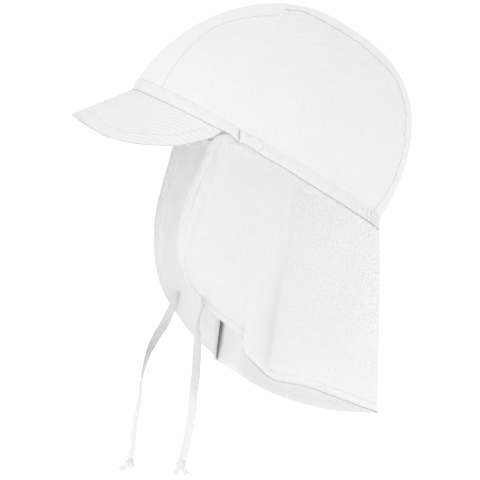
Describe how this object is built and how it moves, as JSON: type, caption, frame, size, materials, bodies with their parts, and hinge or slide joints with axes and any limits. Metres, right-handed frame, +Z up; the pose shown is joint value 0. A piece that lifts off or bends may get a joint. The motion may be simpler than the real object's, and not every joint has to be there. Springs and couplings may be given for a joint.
{
  "type": "legionnaire cap",
  "caption": "White cotton sun cap for a small child: panelled crown, gathered rim band, short curved peak, long neck flap and knotted tie tapes.",
  "frame": {"origin": "the highest point of the crown's inner face, where the cap rests on the top of a head", "axes": "+Z up as worn, the peak towards -Y, the wearer's left towards +X"},
  "size_m": [0.1376, 0.2018, 0.279],
  "materials": {
    "crown_cotton": "matte plain weave",
    "band_cotton": "matte plain weave, gathered",
    "peak_cotton": "matte plain weave over a stiffener",
    "flap_cotton": "matte plain weave",
    "tape_cotton": "matte folded tape"
  },
  "bodies": {
    "root": {"crown_center_panel": "crown_cotton", "crown_side_left": "crown_cotton", "crown_side_right": "crown_cotton", "rim_band": "band_cotton", "peak": "peak_cotton", "neck_flap": "flap_cotton", "tie_left": "tape_cotton", "tie_right": "tape_cotton", "tie_knot_left": "tape_cotton", "tie_knot_right": "tape_cotton"}
  },
  "joints": []
}
